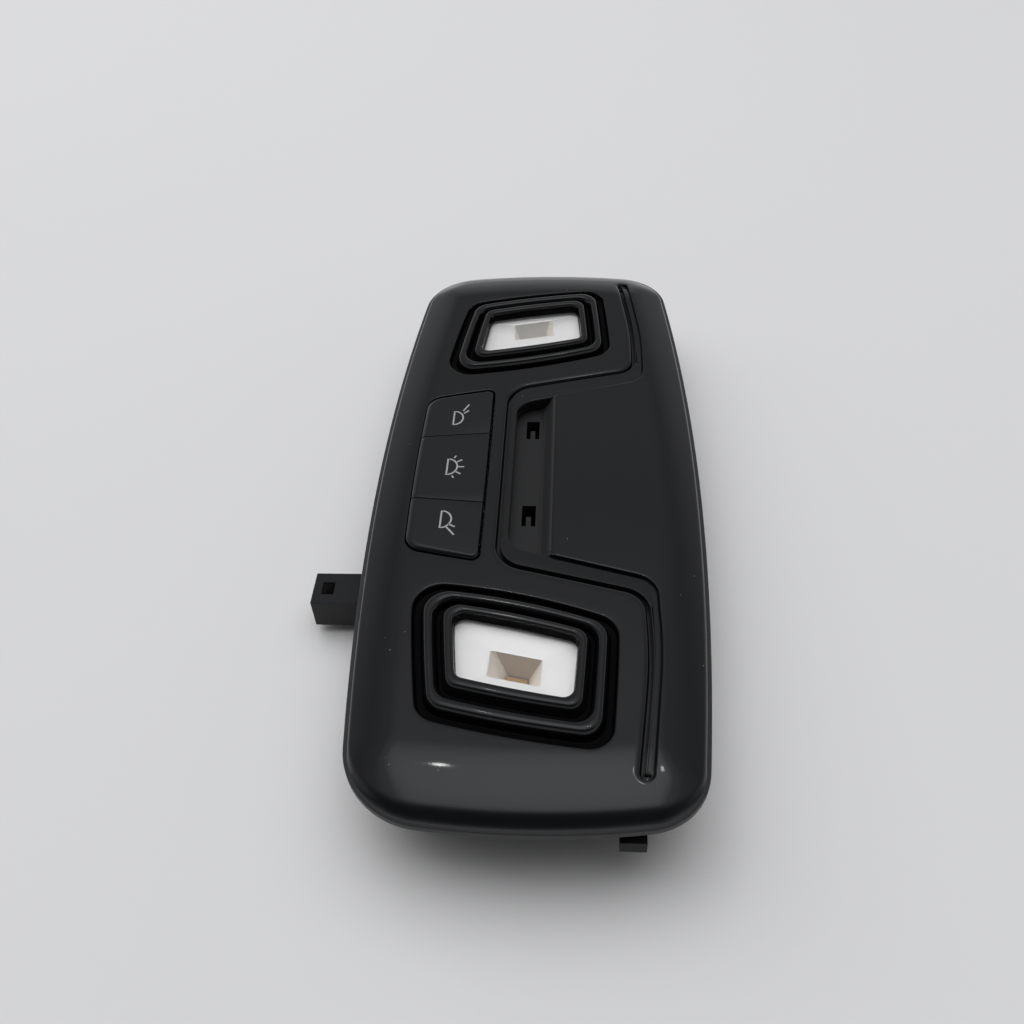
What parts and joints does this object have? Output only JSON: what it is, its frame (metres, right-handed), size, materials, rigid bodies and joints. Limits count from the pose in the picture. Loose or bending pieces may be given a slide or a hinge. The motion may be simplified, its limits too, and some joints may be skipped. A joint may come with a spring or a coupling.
{
  "type": "car dome light",
  "caption": "Long roof console light with stepped lamp rings, push keys, an open clip recess, a matt carrier frame and a rear housing with plug socket.",
  "frame": {"origin": "middle of the flat back of the rear housing", "axes": "+Z out of the lit face, +Y along the length towards the lamp that is far from the plug socket, +X towards the plain panel"},
  "size_m": [0.1092, 0.22, 0.0321],
  "materials": {
    "gloss_black": "piano gloss",
    "matte_grey": "fine matt",
    "housing_black": "fine matt",
    "clear_lens": "clear",
    "silver_reflector": "satin silver coating",
    "diode_case": "satin",
    "key_black": "satin gloss",
    "guide_white": "matt",
    "switch_black": "matt",
    "plunger_grey": "matt",
    "board_green": "satin",
    "socket_black": "matt",
    "pin_metal": "plated",
    "screw_steel": "zinc plated",
    "clip_steel": "spring steel"
  },
  "bodies": {
    "console": {"bezel": "gloss_black", "carrier_frame": "matte_grey", "rear_housing": "housing_black", "near_lens": "clear_lens", "far_lens": "clear_lens", "near_reflector": "silver_reflector", "far_reflector": "silver_reflector", "near_lamp_diode": "diode_case", "far_lamp_diode": "diode_case", "key_guide": "guide_white", "near_switch": "switch_black", "middle_switch": "switch_black", "far_switch": "switch_black", "near_key_diode": "diode_case", "middle_key_diode": "diode_case", "far_key_diode": "diode_case", "circuit_board": "board_green", "plug_socket": "socket_black", "contact_pins": "pin_metal", "housing_screws": "screw_steel", "retaining_clips": "clip_steel"},
    "near_button": {"near_key": "key_black", "near_plunger": "plunger_grey"},
    "middle_button": {"middle_key": "key_black", "middle_plunger": "plunger_grey"},
    "far_button": {"far_key": "key_black", "far_plunger": "plunger_grey"}
  },
  "joints": [
    {"name": "near_key_press", "type": "slide", "parent": "console", "child": "near_button", "axis": [0, 0, -1], "range_m": [0, 0.0008], "stiffness_N_per_m": 2500, "springref_m": -0.0004},
    {"name": "middle_key_press", "type": "slide", "parent": "console", "child": "middle_button", "axis": [0, 0, -1], "range_m": [0, 0.0008], "stiffness_N_per_m": 2500, "springref_m": -0.0004},
    {"name": "far_key_press", "type": "slide", "parent": "console", "child": "far_button", "axis": [0, 0, -1], "range_m": [0, 0.0008], "stiffness_N_per_m": 2500, "springref_m": -0.0004}
  ]
}
